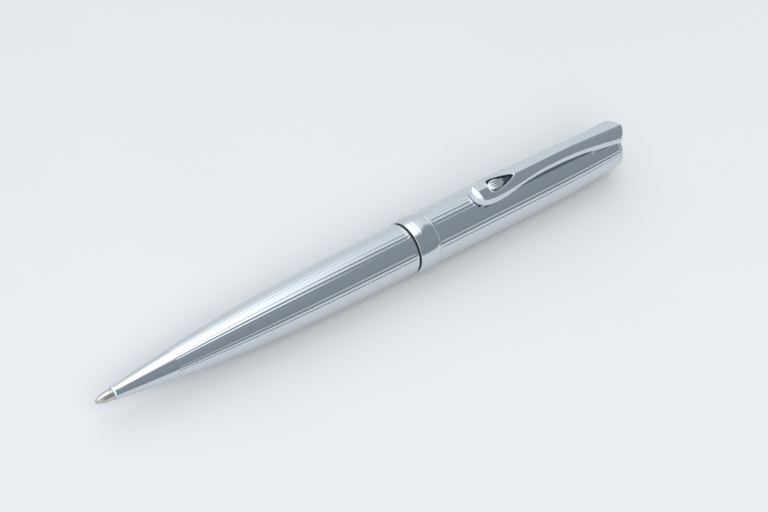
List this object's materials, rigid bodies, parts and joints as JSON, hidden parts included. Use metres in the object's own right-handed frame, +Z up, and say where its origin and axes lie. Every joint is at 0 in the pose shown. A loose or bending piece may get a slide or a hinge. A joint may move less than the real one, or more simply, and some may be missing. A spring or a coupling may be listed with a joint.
{
  "type": "ballpoint pen",
  "caption": "Slim chrome twist-action ballpoint pen with fine fluted barrels, smooth nose cone, centre ring, sculpted pocket clip and a retractable refill.",
  "frame": {"origin": "on the surface the pen lies on, below the middle of its overall length and below its axis", "axes": "+X along the pen from writing tip to cap, +Z up through the clip, +Y across the pen"},
  "size_m": [0.1352, 0.0122, 0.0139],
  "materials": {
    "chrome_plate": "mirror-polished chrome plate over brass",
    "brass": "turned",
    "cam_metal": "milled",
    "black_plastic": "moulded acetal",
    "black_rubber": "matt",
    "spring_steel": "drawn wire",
    "nickel_silver": "turned nickel silver",
    "refill_steel": "satin",
    "ink": "wet",
    "acetal": "moulded",
    "ball_metal": "ground",
    "dark_inlay": "polished dark lacquer"
  },
  "bodies": {
    "front": {"nose_cone": "chrome_plate", "front_barrel": "chrome_plate", "thread_insert": "brass", "slip_washer": "black_plastic", "threaded_nozzle": "brass", "guide_tube": "brass", "friction_ring": "black_rubber", "thrust_washer": "brass", "retaining_ring": "spring_steel", "refill_spring": "spring_steel"},
    "refill": {"refill_point": "nickel_silver", "refill_neck": "brass", "refill_tube": "refill_steel", "ink_column": "ink", "refill_plug": "black_plastic", "drive_carriage": "acetal"},
    "ball": {"writing_ball": "ball_metal"},
    "rear": {"centre_ring": "chrome_plate", "rear_barrel": "chrome_plate", "front_bush": "black_plastic", "cam_sleeve": "cam_metal", "clip_block": "brass", "clip_pin": "spring_steel", "clip_spring": "spring_steel", "end_cap": "chrome_plate"},
    "clip": {"clip": "chrome_plate", "clip_inlay": "dark_inlay"}
  },
  "joints": [
    {"name": "twist", "type": "hinge", "parent": "front", "child": "rear", "pos_m": [0.0081, 0, 0.0061], "axis": [1, 0, 0], "range_deg": [0, 180]},
    {"name": "refill_travel", "type": "slide", "parent": "front", "child": "refill", "axis": [1, 0, 0], "range_m": [0, 0.006], "deforming": ["refill_spring"]},
    {"name": "clip_flex", "type": "hinge", "parent": "rear", "child": "clip", "pos_m": [0.0613, 0, 0.0095], "axis": [0, 1, 0], "range_deg": [0, 2.5], "stiffness_Nm_per_rad": 1, "deforming": ["clip_spring"]},
    {"name": "ball_roll", "type": "hinge", "parent": "refill", "child": "ball", "pos_m": [-0.0671, 0, 0.0061], "axis": [0, 1, 0], "continuous": true}
  ],
  "couplings": [
    {"joint": "twist", "follows": "refill_travel", "rad_per_m": 523.59}
  ]
}
